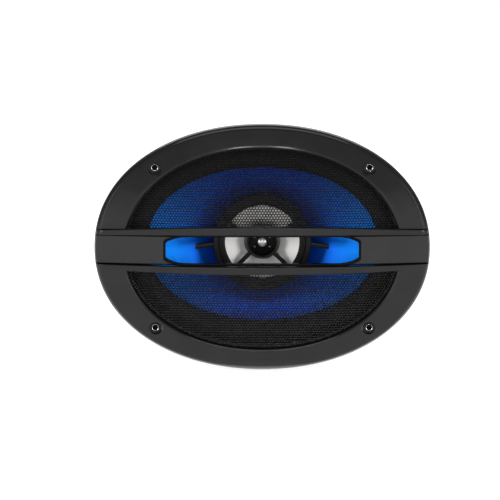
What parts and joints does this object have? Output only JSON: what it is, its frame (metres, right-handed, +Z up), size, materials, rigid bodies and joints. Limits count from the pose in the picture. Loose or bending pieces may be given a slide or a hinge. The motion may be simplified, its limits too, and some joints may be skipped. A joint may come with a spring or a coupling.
{
  "type": "coaxial car speaker",
  "caption": "Oval coaxial car speaker: trim ring with screw holes, perforated grille split by a bowed bar with a window, blue cone, and a midrange and tweeter on the centre post.",
  "frame": {"origin": "centre of the mounting plane: the rear face of the mounting flange, on the sound axis", "axes": "+X along the long axis of the oval, to the right seen from the front; +Z up along the short axis; -Y is the way the sound leaves and +Y is towards the magnet"},
  "size_m": [0.238, 0.0949, 0.1786],
  "materials": {
    "satin_black_plastic": "satin",
    "rail_plastic": "satin",
    "black_plastic": "satin",
    "black_painted_steel": "satin",
    "plain_steel": "satin",
    "zinc_steel": "satin",
    "ferrite": "matte",
    "blue_cone": "gloss",
    "black_rubber": "matte",
    "silver_cone": "satin metallised",
    "spider_cloth": "matte",
    "card": "matte",
    "foil": "satin",
    "copper_wire": "gloss",
    "tinned_brass": "satin"
  },
  "bodies": {
    "frame": {"basket": "black_painted_steel", "basket_rivet_1": "zinc_steel", "basket_rivet_2": "zinc_steel", "basket_rivet_3": "zinc_steel", "basket_rivet_4": "zinc_steel", "board_rivet_left": "zinc_steel", "board_rivet_right": "zinc_steel", "centre_post": "black_plastic", "clamp_ring": "card", "grille_frame": "satin_black_plastic", "left_panel": "satin_black_plastic", "lower_mesh": "black_painted_steel", "lower_rail": "rail_plastic", "magnet": "ferrite", "midrange_housing": "black_plastic", "midrange_magnet": "ferrite", "midrange_pole_plate": "plain_steel", "midrange_surround": "black_rubber", "midrange_yoke": "plain_steel", "right_panel": "satin_black_plastic", "screw_eyelet_lower_left": "zinc_steel", "screw_eyelet_lower_right": "zinc_steel", "screw_eyelet_upper_left": "zinc_steel", "screw_eyelet_upper_right": "zinc_steel", "spider": "spider_cloth", "surround": "black_rubber", "terminal_board": "card", "terminal_negative": "tinned_brass", "terminal_positive": "tinned_brass", "top_plate": "plain_steel", "tweeter_bridge": "black_plastic", "tweeter_cup": "black_plastic", "tweeter_magnet": "ferrite", "tweeter_plate": "black_plastic", "tweeter_rivet_1": "zinc_steel", "tweeter_rivet_2": "zinc_steel", "tweeter_rivet_3": "zinc_steel", "tweeter_rivet_4": "zinc_steel", "upper_mesh": "black_painted_steel", "upper_rail": "rail_plastic", "window_frame": "black_plastic", "yoke": "plain_steel"},
    "woofer": {"woofer_cone": "blue_cone", "voice_coil_former": "foil", "voice_coil_winding": "copper_wire"},
    "midrange": {"midrange_cone": "silver_cone", "midrange_coil": "copper_wire"},
    "tweeter": {"tweeter_dome": "silver_cone"}
  },
  "joints": [
    {"name": "woofer_travel", "type": "slide", "parent": "frame", "child": "woofer", "axis": [0, -1, 0], "range_m": [-0.004, 0.004], "stiffness_N_per_m": 2500, "deforming": ["surround", "spider"]},
    {"name": "midrange_travel", "type": "slide", "parent": "frame", "child": "midrange", "axis": [0, -1, 0], "range_m": [-0.0008, 0.0008], "stiffness_N_per_m": 3000, "deforming": ["midrange_surround"]},
    {"name": "tweeter_travel", "type": "slide", "parent": "frame", "child": "tweeter", "axis": [0, -1, 0], "range_m": [-0.00025, 0.00025], "stiffness_N_per_m": 4000}
  ]
}
